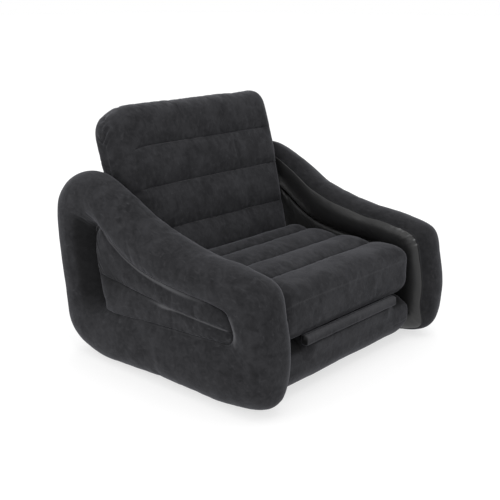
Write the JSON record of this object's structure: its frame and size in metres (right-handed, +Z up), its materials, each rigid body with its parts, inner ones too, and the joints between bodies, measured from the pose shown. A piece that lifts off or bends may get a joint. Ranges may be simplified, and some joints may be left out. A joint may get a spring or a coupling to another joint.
{
  "type": "inflatable pull-out chair",
  "caption": "Flocked inflatable armchair with curved hollow arms and a leaning backrest; its ribbed seat mattress folds out over the front edge of the base to make a lounger.",
  "frame": {"origin": "on the floor under the middle of the chair, halfway along the arms", "axes": "+Z up, -Y towards the front that the sitter faces, +X to the right as seen from the front"},
  "size_m": [1.09, 1.0474, 0.889],
  "materials": {
    "flocked_sheet": "matte charcoal flock on a plastic sheet, mottled by the lie of its nap",
    "gloss_vinyl": "smooth glossy black sheet",
    "inner_web": "plain dull sheet, welded inside the air chambers",
    "valve_plastic": "satin moulded black plastic"
  },
  "bodies": {
    "root": {"left_arm_outer_skin": "flocked_sheet", "right_arm_outer_skin": "flocked_sheet", "base_top_skin": "flocked_sheet", "base_bottom_skin": "flocked_sheet", "base_rear_panel": "flocked_sheet", "back_front_skin": "flocked_sheet", "back_rear_skin": "flocked_sheet", "hinge_lip": "flocked_sheet", "left_arm_inner_skin": "gloss_vinyl", "right_arm_inner_skin": "gloss_vinyl", "left_arm_rim_web": "inner_web", "left_arm_middle_web": "inner_web", "right_arm_rim_web": "inner_web", "right_arm_middle_web": "inner_web", "base_web_1": "inner_web", "base_web_2": "inner_web", "base_web_3": "inner_web", "base_web_4": "inner_web", "base_web_5": "inner_web", "back_web_1": "inner_web", "back_web_2": "inner_web", "back_web_3": "inner_web", "back_web_4": "inner_web", "frame_valve_flange": "valve_plastic", "bed_valve_flange": "valve_plastic"},
    "mattress": {"seat_top_skin": "flocked_sheet", "seat_bottom_skin": "flocked_sheet", "hinge_flap": "flocked_sheet", "seat_web_1": "inner_web", "seat_web_2": "inner_web", "seat_web_3": "inner_web"},
    "frame_insert": {"frame_valve_insert": "valve_plastic", "frame_cap_strap": "valve_plastic"},
    "frame_cap": {"frame_valve_cap": "valve_plastic"},
    "frame_flap": {"frame_valve_flap": "valve_plastic"},
    "bed_insert": {"bed_valve_insert": "valve_plastic", "bed_cap_strap": "valve_plastic"},
    "bed_cap": {"bed_valve_cap": "valve_plastic"},
    "bed_flap": {"bed_valve_flap": "valve_plastic"}
  },
  "joints": [
    {"name": "mattress_fold", "type": "hinge", "parent": "root", "child": "mattress", "pos_m": [0, -0.4505, 0.19165], "axis": [1, 0, 0], "range_deg": [0, 180]},
    {"name": "frame_insert_pull", "type": "slide", "parent": "root", "child": "frame_insert", "axis": [0, 1, 0], "range_m": [0, 0.045]},
    {"name": "frame_cap_lift", "type": "hinge", "parent": "frame_insert", "child": "frame_cap", "pos_m": [-0.15, 0.449, 0.11725], "axis": [1, 0, 0], "range_deg": [0, 150]},
    {"name": "frame_flap_swing", "type": "hinge", "parent": "frame_insert", "child": "frame_flap", "pos_m": [-0.15, 0.4177, 0.11275], "axis": [-1, 0, 0], "range_deg": [0, 60]},
    {"name": "bed_insert_pull", "type": "slide", "parent": "root", "child": "bed_insert", "axis": [0, 1, 0], "range_m": [0, 0.045]},
    {"name": "bed_cap_lift", "type": "hinge", "parent": "bed_insert", "child": "bed_cap", "pos_m": [0.15, 0.449, 0.11725], "axis": [1, 0, 0], "range_deg": [0, 150]},
    {"name": "bed_flap_swing", "type": "hinge", "parent": "bed_insert", "child": "bed_flap", "pos_m": [0.15, 0.4177, 0.11275], "axis": [-1, 0, 0], "range_deg": [0, 60]}
  ]
}
